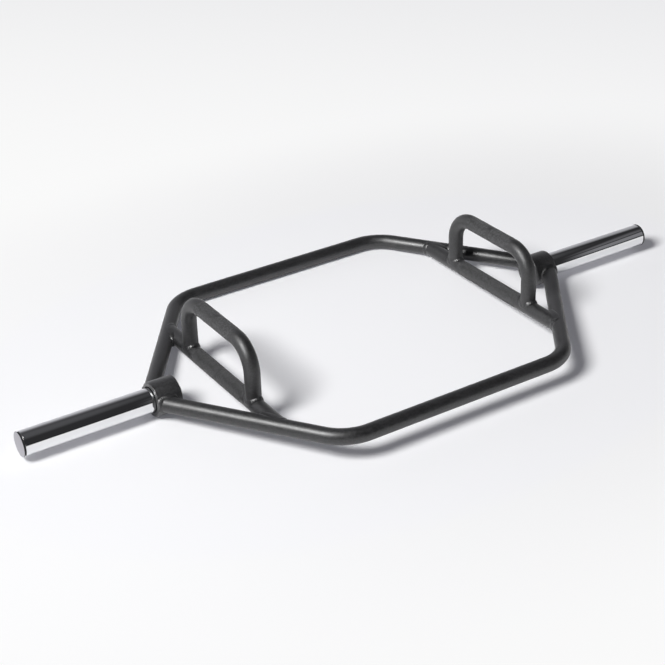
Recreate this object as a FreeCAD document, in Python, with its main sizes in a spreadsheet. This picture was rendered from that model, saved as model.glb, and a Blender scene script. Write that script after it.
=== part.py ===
import FreeCAD, Part

# Hex trap bar: a welded hexagon of bent tube with two plate sleeves, two low grips and two raised grips.
# Millimetres. +X runs along the sleeves, +Y to the rear long side, +Z up. The origin lies under the middle
# of the hexagon, level with the lowest line of the collars.

import math
import os

import Sketcher
from FreeCAD import Placement, Rotation, Vector

SIZES = (
    ("tube_diameter", "31.8", "outside diameter of the tube that frame and handles are made of"),
    ("tube_wall", "3", "wall of that tube"),
    ("cope_gap", "0.4", "root gap that a saddle cut leaves for its weld"),
    ("bead_radius", "4", "radius of a weld bead"),
    ("frame_width", "668", "front long side to rear long side, between centre lines"),
    ("leg_angle", "54.8", "degrees between a leg and the line of the sleeves"),
    ("frame_bend_radius", "90", "centre line radius of the four frame bends"),
    ("collar_face_span", "974", "between the outer faces of the two collars"),
    ("collar_diameter", "70", "outside diameter of a collar"),
    ("collar_length", "52.5", "length of a collar along its sleeve"),
    ("collar_chamfer", "1.5", "chamfer on the rims of a collar"),
    ("leg_edge_margin", "0.5", "collar's outer face to the nearest edge of a leg"),
    ("mouth_clearance", "2.5", "gap round a sleeve in the counterbore of its collar's outer face"),
    ("mouth_depth", "4", "depth of that counterbore, where the sleeve's shoulder seats"),
    ("sleeve_diameter", "50", "outside diameter of a sleeve"),
    ("sleeve_wall", "5", "wall of a sleeve"),
    ("sleeve_reach", "264", "collar's outer face to the end of the sleeve tube"),
    ("shoulder_height", "2", "step from a sleeve down to its turned-down spigot inside the collar"),
    ("cap_thickness", "1.5", "flange of a sleeve's end cap"),
    ("cap_edge_round", "0.6", "round on the rim of that flange"),
    ("cap_groove_width", "3", "groove between flange and sleeve"),
    ("cap_groove_depth", "2", "depth of that groove"),
    ("cap_plug_length", "20", "plug of the end cap inside the sleeve"),
    ("inner_plug_length", "8", "disc that closes a sleeve's inner end"),
    ("cross_tube_station", "277.1", "along a leg, from the line of the sleeves to a cross tube, centre lines"),
    ("raised_height", "119.5", "raised grip above its cross tube, between centre lines"),
    ("raised_leg_spacing", "251", "between the two legs of a raised handle, centre lines"),
    ("raised_bend_radius", "55", "centre line radius of a raised handle's bends"),
)

doc = FreeCAD.newDocument("hex_trap_bar")
dims = doc.addObject("Spreadsheet::Sheet", "dims")
for row, (alias, value, meaning) in enumerate(SIZES, start=1):
    dims.set(f"A{row}", meaning)
    dims.set(f"B{row}", value)
    dims.setAlias(f"B{row}", alias)
doc.recompute()

# Places that follow from the driving sizes. A leg's centre line crosses the line of the sleeves at the apex.
TUBE_RADIUS = "dims.tube_diameter / 2"
TUBE_BORE = "(dims.tube_diameter / 2 - dims.tube_wall)"
COPE_RADIUS = "(dims.tube_diameter / 2 + dims.cope_gap)"
HALF_WIDTH = "dims.frame_width / 2"
COLLAR_RADIUS = "dims.collar_diameter / 2"
APEX = ("(dims.collar_face_span / 2 - dims.leg_edge_margin"
        " - dims.tube_diameter / 2 / sin(dims.leg_angle) + dims.collar_diameter / 2 / tan(dims.leg_angle))")
HANDLE_X = f"({APEX} - dims.cross_tube_station * cos(dims.leg_angle))"
CROSS_HALF_LENGTH = "(dims.cross_tube_station * sin(dims.leg_angle))"
RAISED_LEG_Y = "dims.raised_leg_spacing / 2"
COLLAR_INNER_X = "(dims.collar_face_span / 2 - dims.collar_length)"
SLEEVE_END = "(dims.collar_length + dims.sleeve_reach)"
SPIGOT_RADIUS = "(dims.sleeve_diameter / 2 - dims.shoulder_height)"
MOUTH_RADIUS = "(dims.sleeve_diameter / 2 + dims.mouth_clearance)"

HALF_TURN = Rotation(Vector(0, 0, 1), 180)
AS_DRAWN = Rotation()


def number(expression):
    """The present value of an expression in the sheet's sizes."""
    return float(dims.evalExpression(expression))


def origin_plane(body, role):
    """One of a body's own origin planes."""
    return next(feature for feature in body.Origin.OriginFeatures if feature.Role == role)


def new_body(label, rotation, x_expression="0"):
    """An empty body at the frame's height, turned as given, with its place along X bound to the sheet."""
    body = doc.addObject("PartDesign::Body", label)
    body.Placement = Placement(Vector(), rotation)
    body.setExpression("Placement.Base.x", x_expression)
    body.setExpression("Placement.Base.z", COLLAR_RADIUS)
    return body


def new_sketch(body, name, role):
    """A sketch on one of its body's origin planes."""
    sketch = body.newObject("Sketcher::SketchObject", f"{body.Label}_{name}")
    sketch.AttachmentSupport = [(origin_plane(body, role), "")]
    sketch.MapMode = "FlatFace"
    return sketch


def bind(sketch, kind, *arguments, to):
    """A dimension of the sketch, bound to an expression."""
    index = sketch.addConstraint(Sketcher.Constraint(kind, *arguments, number(to)))
    sketch.setExpression(f"Constraints[{index}]", to)


def bind_point(sketch, geometry, point, across, up):
    """Both coordinates of a sketch point, bound to expressions."""
    bind(sketch, "DistanceX", geometry, point, to=across)
    bind(sketch, "DistanceY", geometry, point, to=up)


def bind_circle(sketch, across, up, radius):
    """A circle whose centre and radius are bound to expressions."""
    centre = Vector(number(across), number(up), 0)
    index = sketch.addGeometry(Part.Circle(centre, Vector(0, 0, 1), number(radius)))
    bind_point(sketch, index, 3, across, up)
    bind(sketch, "Radius", index, to=radius)


def turn(body, sketch):
    """A full turn of the sketch about the body's X axis."""
    revolution = body.newObject("PartDesign::Revolution", f"{body.Label}_turning")
    revolution.Profile = sketch
    revolution.ReferenceAxis = (sketch, ["H_Axis"])
    revolution.Angle = 360


def turned_piece(label, corners, rotation, x_expression):
    """A lathe part: a closed outline of (along, radius) expressions, turned about X.

    Along counts outwards from the collar's inner face, so the left piece is the right one turned round.
    """
    body = new_body(label, rotation, x_expression)
    sketch = new_sketch(body, "outline", "XY_Plane")
    points = [Vector(number(along), number(radius), 0) for along, radius in corners]
    count = len(points)
    for index in range(count):
        sketch.addGeometry(Part.LineSegment(points[index], points[(index + 1) % count]))
    for index in range(count):
        sketch.addConstraint(Sketcher.Constraint("Coincident", index, 2, (index + 1) % count, 1))
    for index, (along, radius) in enumerate(corners):
        bind_point(sketch, index, 1, along, radius)
    turn(body, sketch)
    return body


def round_rim(body, along, radius, round_expression):
    """Rounds the circular edge of a lathe part that lies at the given place and radius."""
    doc.recompute()
    turning = body.Tip
    for index, edge in enumerate(turning.Shape.Edges, start=1):
        circle = isinstance(edge.Curve, Part.Circle)
        if circle and abs(edge.Curve.Radius - radius) < 1e-6 and abs(edge.Curve.Center.x - along) < 1e-6:
            rim = f"Edge{index}"
    fillet = body.newObject("PartDesign::Fillet", f"{body.Label}_rim")
    fillet.Base = (turning, [rim])
    fillet.setExpression("Radius", round_expression)


def bent_tube(label, rotation, x_expression, planes, height, end, turn_angle, bend_radius, cope_radius):
    """A tube bent twice, symmetric about its middle, with both ends saddle-cut by one cylinder.

    Half of the centre line is a run at the given height, an arc and a leg that comes down to the axis at the
    given end. The half is swept, mirrored, and cut by a cylinder on the axis that both legs come down to.
    """
    path_role, middle_role = planes
    body = new_body(label, rotation, x_expression)
    arc_centre = f"({end} - {height} / tan({turn_angle}) - {bend_radius} * tan({turn_angle} / 2))"
    centre = Vector(number(arc_centre), number(height) - number(bend_radius), 0)
    leg_direction = math.pi / 2 - math.radians(number(turn_angle))

    path = new_sketch(body, "path", path_role)
    arc = Part.ArcOfCircle(Part.Circle(centre, Vector(0, 0, 1), number(bend_radius)), leg_direction, math.pi / 2)
    path.addGeometry(Part.LineSegment(Vector(0, number(height), 0), arc.EndPoint))
    path.addGeometry(arc)
    path.addGeometry(Part.LineSegment(arc.StartPoint, Vector(number(end), 0, 0)))
    path.addConstraint(Sketcher.Constraint("Tangent", 0, 2, 1, 2))
    path.addConstraint(Sketcher.Constraint("Tangent", 1, 1, 2, 1))
    path.addConstraint(Sketcher.Constraint("Horizontal", 0))
    bind_point(path, 0, 1, "0", height)
    bind_point(path, 2, 2, end, "0")
    bind(path, "DistanceX", 1, 3, to=arc_centre)
    bind(path, "Radius", 1, to=bend_radius)

    section = new_sketch(body, "section", middle_role)
    across, up = (height, "0") if middle_role == "YZ_Plane" else ("0", height)
    bind_circle(section, across, up, TUBE_RADIUS)
    bind_circle(section, across, up, TUBE_BORE)
    sweep = body.newObject("PartDesign::AdditivePipe", f"{label}_sweep")
    sweep.Profile = section
    sweep.Spine = (path, ["Edge1", "Edge2", "Edge3"])

    halves = body.newObject("PartDesign::Mirrored", f"{label}_halves")
    halves.Originals = [sweep]
    halves.MirrorPlane = (origin_plane(body, middle_role), [""])
    body.Tip = halves

    saddle = new_sketch(body, "saddle", middle_role)
    bind_circle(saddle, "0", "0", cope_radius)
    cope = body.newObject("PartDesign::Pocket", f"{label}_cope")
    cope.Profile = saddle
    cope.Type = "ThroughAll"
    cope.SideType = "Symmetric"
    body.Tip = cope
    return body


# Frame: two bent tubes that close the hexagon between the collars, the front one the rear one turned round.
nodes = []
for label, rotation in (("rear_frame_tube", AS_DRAWN), ("front_frame_tube", HALF_TURN)):
    tube = bent_tube(
        label, rotation, "0", ("XY_Plane", "YZ_Plane"), HALF_WIDTH, APEX,
        "dims.leg_angle", "dims.frame_bend_radius", "(dims.collar_diameter / 2 + dims.cope_gap)",
    )
    nodes.append(tube)

# Sleeve ends: collar, chromed sleeve, end cap and inner plug are turned on one axis and seat on each other.
COLLAR_OUTLINE = (
    ("0", SPIGOT_RADIUS),
    ("0", f"{COLLAR_RADIUS} - dims.collar_chamfer"),
    ("dims.collar_chamfer", COLLAR_RADIUS),
    ("dims.collar_length - dims.collar_chamfer", COLLAR_RADIUS),
    ("dims.collar_length", f"{COLLAR_RADIUS} - dims.collar_chamfer"),
    ("dims.collar_length", MOUTH_RADIUS),
    ("dims.collar_length - dims.mouth_depth", MOUTH_RADIUS),
    ("dims.collar_length - dims.mouth_depth", SPIGOT_RADIUS),
)
SLEEVE_BORE = "(dims.sleeve_diameter / 2 - dims.sleeve_wall)"
SLEEVE_OUTLINE = (
    ("0", SLEEVE_BORE),
    ("0", SPIGOT_RADIUS),
    ("dims.collar_length - dims.mouth_depth", SPIGOT_RADIUS),
    ("dims.collar_length - dims.mouth_depth", "dims.sleeve_diameter / 2"),
    (SLEEVE_END, "dims.sleeve_diameter / 2"),
    (SLEEVE_END, SLEEVE_BORE),
)
CAP_FLANGE = f"({SLEEVE_END} + dims.cap_groove_width)"
CAP_END = f"({CAP_FLANGE} + dims.cap_thickness)"
CAP_OUTLINE = (
    (f"{SLEEVE_END} - dims.cap_plug_length", "0"),
    (f"{SLEEVE_END} - dims.cap_plug_length", SLEEVE_BORE),
    (SLEEVE_END, SLEEVE_BORE),
    (SLEEVE_END, "dims.sleeve_diameter / 2 - dims.cap_groove_depth"),
    (CAP_FLANGE, "dims.sleeve_diameter / 2 - dims.cap_groove_depth"),
    (CAP_FLANGE, "dims.sleeve_diameter / 2"),
    (CAP_END, "dims.sleeve_diameter / 2"),
    (CAP_END, "0"),
)
PLUG_OUTLINE = (
    ("0", "0"),
    ("0", SLEEVE_BORE),
    ("dims.inner_plug_length", SLEEVE_BORE),
    ("dims.inner_plug_length", "0"),
)


def sleeve_ring_bead(label, rotation, x_expression):
    """The half-round bead round the spigot's seam, on the collar's inner face; along counts inwards here."""
    body = new_body(label, rotation, x_expression)
    sketch = new_sketch(body, "outline", "XY_Plane")
    seam = Vector(0, number(SPIGOT_RADIUS), 0)
    circle = Part.Circle(seam, Vector(0, 0, 1), number("dims.bead_radius"))
    crown = Part.ArcOfCircle(circle, -math.pi / 2, math.pi / 2)
    sketch.addGeometry(crown)
    sketch.addGeometry(Part.LineSegment(crown.EndPoint, crown.StartPoint))
    sketch.addConstraint(Sketcher.Constraint("Coincident", 0, 2, 1, 1))
    sketch.addConstraint(Sketcher.Constraint("Coincident", 1, 2, 0, 1))
    bind(sketch, "DistanceX", 1, 1, to="0")
    bind(sketch, "DistanceX", 1, 2, to="0")
    bind_point(sketch, 0, 3, "0", SPIGOT_RADIUS)
    bind(sketch, "Radius", 0, to="dims.bead_radius")
    turn(body, sketch)
    return body


for side, rotation, inwards, sign in (("left", HALF_TURN, AS_DRAWN, "-"), ("right", AS_DRAWN, HALF_TURN, "")):
    inner_face = f"{sign}{COLLAR_INNER_X}"
    nodes.append(turned_piece(f"{side}_collar", COLLAR_OUTLINE, rotation, inner_face))
    nodes.append(turned_piece(f"{side}_sleeve", SLEEVE_OUTLINE, rotation, inner_face))
    nodes.append(turned_piece(f"{side}_sleeve_inner_plug", PLUG_OUTLINE, rotation, inner_face))
    cap = turned_piece(f"{side}_sleeve_end_cap", CAP_OUTLINE, rotation, inner_face)
    round_rim(cap, number(CAP_END), number("dims.sleeve_diameter / 2"), "dims.cap_edge_round")
    nodes.append(cap)
    nodes.append(sleeve_ring_bead(f"{side}_sleeve_weld", inwards, inner_face))

# Raised handles: U-shaped tubes that stand on the cross tubes.
for side, sign in (("left", "-"), ("right", "")):
    handle = bent_tube(
        f"{side}_raised_handle", AS_DRAWN, f"{sign}{HANDLE_X}", ("YZ_Plane", "XZ_Plane"),
        "dims.raised_height", RAISED_LEG_Y, "90", "dims.raised_bend_radius", COPE_RADIUS,
    )
    nodes.append(handle)


# Cross tubes: straight tubes between the legs of one side, cut at a slant by the two legs that they meet.
def lying_cylinder(label, radius, length, heading, y_expression):
    """A cylinder lying in the frame's plane, centred on a point of the Y axis, heading so many degrees off X."""
    cylinder = doc.addObject("Part::Cylinder", label)
    cylinder.setExpression("Radius", radius)
    cylinder.setExpression("Height", length)
    spin = f"rotation(vector(0; 0; 1); {heading}) * rotation(vector(0; 1; 0); 90)"
    start = f"vector(-({length}) / 2 * cos({heading}); {y_expression} - ({length}) / 2 * sin({heading}); 0)"
    cylinder.setExpression("Placement", f"placement({start}; {spin})")
    return cylinder


CROSS_LENGTH = f"(2 * {CROSS_HALF_LENGTH})"
COPE_LENGTH = "(6 * dims.tube_diameter)"
cross_stock = lying_cylinder("cross_tube_stock", TUBE_RADIUS, CROSS_LENGTH, "90", "0")
cross_cutters = doc.addObject("Part::MultiFuse", "cross_tube_cutters")
cross_cutters.Shapes = [
    lying_cylinder("cross_tube_bore", TUBE_BORE, CROSS_LENGTH, "90", "0"),
    lying_cylinder("rear_leg_envelope", COPE_RADIUS, COPE_LENGTH, "-dims.leg_angle", CROSS_HALF_LENGTH),
    lying_cylinder("front_leg_envelope", COPE_RADIUS, COPE_LENGTH, "dims.leg_angle", f"-{CROSS_HALF_LENGTH}"),
]
for side, rotation, sign in (("left", HALF_TURN, "-"), ("right", AS_DRAWN, "")):
    cross_tube = doc.addObject("Part::Cut", f"{side}_cross_tube")
    cross_tube.Base = cross_stock
    cross_tube.Tool = cross_cutters
    cross_tube.Placement = Placement(Vector(), rotation)
    cross_tube.setExpression("Placement.Base.x", f"{sign}{HANDLE_X}")
    cross_tube.setExpression("Placement.Base.z", COLLAR_RADIUS)
    nodes.append(cross_tube)
doc.recompute()


# Weld beads: an eight-sided bead laid along the saddle curve where a branch tube meets a run, cut by both.
BEAD_STATIONS = 24
BEAD_SIDES = 8


def saddle_bead(meeting, branch, run, run_radius):
    """The bead round a branch tube whose axis meets the axis of a round run at the given point.

    A point of the saddle lies on the branch's surface, at that distance along the branch where it is one root
    gap above the run. Sections stand square to that curve and are lofted into a closed ring, and what lies
    inside the branch or the run is cut off.
    """
    branch_radius = number(TUBE_RADIUS)
    bead_radius = number("dims.bead_radius")
    reach = run_radius + number("dims.cope_gap")
    upward = branch.cross(run).normalize()
    sideways = upward.cross(branch)
    outward = upward.cross(run)
    if outward.dot(branch) < 0:
        outward = -outward

    def saddle_point(angle):
        offset = sideways * (branch_radius * math.cos(angle)) + upward * (branch_radius * math.sin(angle))
        clearance = math.sqrt(reach ** 2 - (branch_radius * math.sin(angle)) ** 2)
        along = (clearance - offset.dot(outward)) / branch.dot(outward)
        return meeting + branch * along + offset

    step = 2 * math.pi / BEAD_STATIONS
    corner_turn = 2 * math.pi / BEAD_SIDES
    sections = []
    for station in range(BEAD_STATIONS):
        angle = station * step
        centre = saddle_point(angle)
        heading = saddle_point(angle + step / 2) - saddle_point(angle - step / 2)
        level = heading.cross(branch).normalize() * bead_radius
        rise = level.cross(heading).normalize() * bead_radius
        corners = []
        for corner in range(BEAD_SIDES + 1):
            turned = corner * corner_turn
            corners.append(centre + level * math.cos(turned) + rise * math.sin(turned))
        sections.append(Part.makePolygon(corners))
    solid, ruled, closed = True, True, True
    ring = Part.makeLoft(sections, solid, ruled, closed)
    length = 4 * (run_radius + branch_radius)
    branch_solid = Part.makeCylinder(branch_radius, length, meeting, branch)
    run_solid = Part.makeCylinder(run_radius, 2 * length, meeting - run * length, run)
    return ring.cut(branch_solid.fuse(run_solid))


def place_bead(label, shape, rotation, x_place=0.0):
    """A node for one bead, turned to its joint and lifted to the frame's height."""
    bead = doc.addObject("Part::Feature", label)
    bead.Shape = shape
    bead.Placement = Placement(Vector(x_place, 0, number(COLLAR_RADIUS)), rotation)
    nodes.append(bead)


leg_angle = math.radians(number("dims.leg_angle"))
leg = Vector(-math.cos(leg_angle), math.sin(leg_angle), 0)
sleeve_line = Vector(1, 0, 0)
cross_line = Vector(0, 1, 0)
upright = Vector(0, 0, 1)
tube_radius = number(TUBE_RADIUS)
handle_x = number(HANDLE_X)

# The collars are faced after welding, so that plates seat flat, and the beads end at that face.
faced_x = number("dims.collar_face_span / 2")
swarf = number("dims.collar_diameter")
facing_cut = Part.makeBox(swarf, 2 * swarf, 2 * swarf, Vector(faced_x, -swarf, -swarf))
collar_bead = saddle_bead(Vector(number(APEX), 0, 0), leg, sleeve_line, number(COLLAR_RADIUS)).cut(facing_cut)
cross_bead = saddle_bead(Vector(handle_x, number(CROSS_HALF_LENGTH), 0), -cross_line, leg, tube_radius)
handle_bead = saddle_bead(Vector(0, number(RAISED_LEG_Y), 0), upright, cross_line, tube_radius)

QUARTERS = (
    ("rear_right", AS_DRAWN),
    ("front_right", Rotation(Vector(1, 0, 0), 180)),
    ("front_left", HALF_TURN),
    ("rear_left", Rotation(Vector(0, 1, 0), 180)),
)
for quarter, rotation in QUARTERS:
    place_bead(f"{quarter}_collar_weld", collar_bead, rotation)
    place_bead(f"{quarter}_cross_tube_weld", cross_bead, rotation)
for side, x_place in (("left", -handle_x), ("right", handle_x)):
    place_bead(f"rear_{side}_handle_weld", handle_bead, AS_DRAWN, x_place)
    place_bead(f"front_{side}_handle_weld", handle_bead, HALF_TURN, x_place)
doc.recompute()

for item in doc.Objects:
    if "Invalid" in item.State or "Error" in item.State:
        raise RuntimeError(f"{item.Label} failed: {item.State}")
for node in nodes:
    shape = node.Shape
    if shape.isNull() or not shape.isValid() or len(shape.Solids) != 1:
        raise RuntimeError(f"{node.Label} is not one sound solid")

os.makedirs("parts", exist_ok=True)
for node in nodes:
    node.Shape.exportStep(f"parts/{node.Label}.step")
    print(f"{node.Label}: {node.Shape.Volume:.0f} mm3")
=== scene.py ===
import bpy
import numpy as np
from mathutils import Matrix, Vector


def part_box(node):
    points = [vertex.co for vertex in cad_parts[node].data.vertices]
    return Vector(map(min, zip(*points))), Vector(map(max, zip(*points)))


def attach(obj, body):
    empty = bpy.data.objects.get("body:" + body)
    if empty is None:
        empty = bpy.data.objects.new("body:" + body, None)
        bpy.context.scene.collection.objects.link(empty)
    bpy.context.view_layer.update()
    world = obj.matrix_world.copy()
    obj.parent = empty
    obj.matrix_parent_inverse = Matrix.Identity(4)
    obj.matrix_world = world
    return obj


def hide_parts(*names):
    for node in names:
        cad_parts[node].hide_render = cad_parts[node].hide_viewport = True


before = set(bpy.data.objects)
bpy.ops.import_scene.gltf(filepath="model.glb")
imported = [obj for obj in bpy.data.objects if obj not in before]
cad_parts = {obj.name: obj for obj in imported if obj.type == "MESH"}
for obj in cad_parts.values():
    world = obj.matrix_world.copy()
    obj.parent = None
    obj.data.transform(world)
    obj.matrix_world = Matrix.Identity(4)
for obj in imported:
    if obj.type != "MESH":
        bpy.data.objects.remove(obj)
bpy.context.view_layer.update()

# Frame tubes: two lengths of round steel tube, each bent twice over a former, that close the hexagon
# between the collars. Their ends are saddle-cut to sit on the collars, and after welding all is powder
# coated satin black.
LEG_ANGLE = np.radians(54.8)
LEG_EDGE_MARGIN = 0.0005
FRAME_BEND_RADIUS = 0.090
TUBE_WALL = 0.003
ROOT_GAP = 0.0004
TUBE_COLUMNS = 128
FRAME_RUN_ROWS = 8
BEND_ROWS = 28
LEG_ROWS = 14
SHARP_EDGE = np.radians(35)
FULL_TURN = 2 * np.pi


def box_of(node):
    """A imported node's lowest and highest corner as arrays."""
    return tuple(np.array(corner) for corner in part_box(node))


def put_mesh(name, points, faces, smooth=True, materials=(), material_of_face=0):
    """A mesh object from arrays of points and of faces with three or four corners, closed and facing out.

    The signed volume is a sixth of the sum of corner 1 . (corner 2 x corner 3) over the triangles of a
    fan; where it is negative, every face is turned round.
    """
    points = points.reshape(-1, 3)
    fan = points[faces]
    volume = 0.0
    for corner in range(1, faces.shape[1] - 1):
        volume += np.einsum("ij,ij->", fan[:, 0], np.cross(fan[:, corner], fan[:, corner + 1]))
    if volume < 0:
        faces = faces[:, ::-1]
    count, corners = faces.shape
    mesh = bpy.data.meshes.new(name)
    mesh.vertices.add(len(points))
    mesh.vertices.foreach_set("co", points.astype(np.float32).ravel())
    mesh.loops.add(count * corners)
    mesh.loops.foreach_set("vertex_index", faces.astype(np.int32).ravel())
    mesh.polygons.add(count)
    mesh.polygons.foreach_set("loop_start", np.arange(0, count * corners, corners, dtype=np.int32))
    mesh.polygons.foreach_set("use_smooth", np.broadcast_to(smooth, count).astype(bool))
    mesh.polygons.foreach_set("material_index", np.broadcast_to(material_of_face, count).astype(np.int32))
    mesh.update(calc_edges=True)
    mesh.validate()
    mesh.set_sharp_from_angle(angle=SHARP_EDGE)
    for material in materials:
        mesh.materials.append(material)
    piece = bpy.data.objects.new(name, mesh)
    bpy.context.scene.collection.objects.link(piece)
    return piece


def stand_for(piece, node):
    """The finished piece rides on the bar and hides the plain node."""
    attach(piece, "root")
    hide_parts(node)


def woven_faces(rows, columns, first_row=0):
    """Triangles of a grid that runs round into itself both ways.

    Each cell is halved along the diagonal between its corners of even row plus column, counted from the first
    row, so that the odd corners can stand up as the points of pyramids.
    """
    row, column = np.meshgrid(np.arange(rows), np.arange(columns), indexing="ij")
    ahead = (row + 1) % rows
    beside = (column + 1) % columns
    near, far = row * columns + column, ahead * columns + column
    near_beside, far_beside = row * columns + beside, ahead * columns + beside
    even = ((row - first_row + column) % 2 == 0)[..., None]
    first = np.where(even, np.stack([near, far, far_beside], -1), np.stack([near, far, near_beside], -1))
    second = np.where(even, np.stack([near, far_beside, near_beside], -1),
                      np.stack([far, far_beside, near_beside], -1))
    return np.stack([first, second], 2).reshape(-1, 3)


def half_bent_tube(run, radius, height, end, turn, bend_radius, saddle_radius):
    """Rings of one half of a tube bent twice, as (along, height, across), from its middle to its saddle.

    A ring is the circle radius * (cos a * normal + sin a * across). It is carried along a run at the
    given height, round an arc and down a leg that reaches height zero at the given end. On the leg each
    point of the ring moves on by its own share, so that the last ring lies on the saddle: its height is
    the square root of saddle_radius squared less across squared.
    """
    around = np.linspace(0, FULL_TURN, TUBE_COLUMNS, endpoint=False)
    arc_start = end - height / np.tan(turn) - bend_radius * np.tan(turn / 2)
    lift = radius * np.cos(around)
    across = radius * np.sin(around)
    straight_along = np.broadcast_to(run[:, None] * arc_start, (len(run), TUBE_COLUMNS))
    straight = np.stack(np.broadcast_arrays(straight_along, height + lift, across), -1)

    lift = np.broadcast_to(lift, straight.shape[:2])[-1]
    across = np.broadcast_to(across, straight.shape[:2])[-1]
    bend = np.linspace(0, turn, BEND_ROWS)[1:, None]
    reach = bend_radius + lift
    arc = np.stack(np.broadcast_arrays(arc_start + reach * np.sin(bend),
                                       height - bend_radius + reach * np.cos(bend), across), -1)
    last = arc[-1]
    stop = (last[:, 1] - np.sqrt(saddle_radius ** 2 - across ** 2)) / np.sin(turn)
    share = np.linspace(0, 1, LEG_ROWS)[1:, None]
    leg = np.stack(np.broadcast_arrays(last[:, 0] + np.cos(turn) * stop * share,
                                       last[:, 1] - np.sin(turn) * stop * share, across), -1)
    return np.concatenate([straight, arc, leg])


def whole_tube(outside, bore):
    """The closed skin of a symmetric tube: along its outside, mirrored at its middle, and back in the bore.

    Both halves start at the middle, so the mirrored half is read backwards without its first ring.
    """
    mirror = np.array([-1, 1, 1])
    out = np.concatenate([outside[:0:-1] * mirror, outside])
    back = np.concatenate([bore[:0:-1] * mirror, bore])[::-1]
    return np.concatenate([out, back])


class Shade:
    """A value in a node tree. Sums and products of values add the Math nodes that work them out."""

    def __init__(self, tree, socket=None):
        self.tree = tree
        self.socket = socket

    def node(self, kind, settings=None, sockets=None, output=0):
        """Adds a node, puts in its settings, then sets or links its sockets, and gives one of its outputs."""
        made = self.tree.nodes.new(kind)
        for name, value in (settings or {}).items():
            setattr(made, name, value)
        for name, value in (sockets or {}).items():
            if isinstance(value, Shade):
                self.tree.links.new(value.socket, made.inputs[name])
            else:
                made.inputs[name].default_value = value
        return Shade(self.tree, made.outputs[output])

    def math(self, operation, first, second):
        return self.node("ShaderNodeMath", {"operation": operation}, {0: first, 1: second})

    def __add__(self, other):
        return self.math("ADD", self, other)

    def __sub__(self, other):
        return self.math("SUBTRACT", self, other)

    def __rsub__(self, other):
        return self.math("SUBTRACT", other, self)

    def __mul__(self, other):
        return self.math("MULTIPLY", self, other)

    __radd__ = __add__
    __rmul__ = __mul__

    def rise(self, start, stop):
        """Zero before start, one after stop, and a smooth step between them."""
        return self.node("ShaderNodeMapRange", {"interpolation_type": "SMOOTHSTEP"},
                         {"Value": self, "From Min": start, "From Max": stop})

    def noise(self, place, scale, detail=2.0):
        """Soft noise about 0.5 whose lumps are one over scale metres wide."""
        return self.node("ShaderNodeTexNoise", {}, {"Vector": place, "Scale": scale, "Detail": detail})

    def blend(self, share, first, second):
        """A colour between two, by a share from 0 to 1."""
        return self.node("ShaderNodeMix", {"data_type": "RGBA"}, {"Factor": share, 6: first, 7: second}, 2)


def new_finish(name):
    """An empty material, the start of its node tree, its surface shader and its place on the piece."""
    material = bpy.data.materials.new(name)
    material.use_nodes = True
    tree = material.node_tree
    shader = next(node for node in tree.nodes if node.type == "BSDF_PRINCIPLED")
    start = Shade(tree)
    place = start.node("ShaderNodeTexCoord", output="Object")
    return material, start, shader, place


def link(value, shader, socket):
    """Feeds a value that changes over the surface to one of the shader's sockets."""
    value.tree.links.new(value.socket, shader.inputs[socket])


COAT_BLACK = (0.002, 0.002, 0.0023, 1)
COAT_THIN = (0.019, 0.019, 0.0205, 1)
COAT_IOR = 1.58
COAT_GRAIN_PER_METRE = 1100.0
COAT_GRAIN_DEPTH = 0.00018
COAT_RIPPLE_PER_METRE = 260.0
COAT_CLOUD_PER_METRE = 22.0
COAT_CLOUD_DETAIL = 4.0
COAT_CLOUD_EDGES = (0.3, 0.7)
COAT_FLECK_EDGES = (0.43, 0.59)
COAT_CLOUD_SHARE = 0.15
COAT_FLECK_SHARE = 0.75
COAT_GRAIN_SHARE = 0.1
COAT_CLOUD_DULLS = 0.05
COAT_FLECK_DULLS = 0.06
COAT_GRAIN_DULLS = 0.08
COAT_GRAIN_IN_RELIEF = 0.6
COAT_RELIEF_STRENGTH = 0.7
COAT_ROUGHNESS = 0.46
COAT_GLOSS = 0.8
COAT_SHEEN = 0.18
COAT_SHEEN_ROUGHNESS = 0.33


def powder_coat(name, dark, light, roughness, gloss):
    """Baked powder: fine grain over a soft orange peel, flecks and clouds of duller coat, a dusty sheen."""
    material, start, shader, place = new_finish(name)
    grain = start.noise(place, COAT_GRAIN_PER_METRE)
    ripple = start.noise(place, COAT_RIPPLE_PER_METRE)
    cloud = start.noise(place, COAT_CLOUD_PER_METRE, COAT_CLOUD_DETAIL).rise(*COAT_CLOUD_EDGES)
    fleck = ripple.rise(*COAT_FLECK_EDGES)
    thin = cloud * COAT_CLOUD_SHARE + fleck * COAT_FLECK_SHARE + grain * COAT_GRAIN_SHARE
    link(start.blend(thin, dark, light), shader, "Base Color")
    dull = cloud * COAT_CLOUD_DULLS + fleck * COAT_FLECK_DULLS + grain * COAT_GRAIN_DULLS
    mean_dull = (COAT_CLOUD_DULLS + COAT_FLECK_DULLS + COAT_GRAIN_DULLS) / 2
    link(dull + (roughness - mean_dull), shader, "Roughness")
    bump = start.node("ShaderNodeBump", {}, {"Strength": COAT_RELIEF_STRENGTH,
                                              "Distance": COAT_GRAIN_DEPTH,
                                              "Height": grain * COAT_GRAIN_IN_RELIEF + ripple})
    link(bump, shader, "Normal")
    shader.inputs["IOR"].default_value = COAT_IOR
    shader.inputs["Sheen Weight"].default_value = COAT_SHEEN
    shader.inputs["Sheen Roughness"].default_value = COAT_SHEEN_ROUGHNESS
    shader.inputs["Specular IOR Level"].default_value = gloss
    return material


black_coat = powder_coat("satin_black_powder_coat", COAT_BLACK, COAT_THIN, COAT_ROUGHNESS, COAT_GLOSS)

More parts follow.
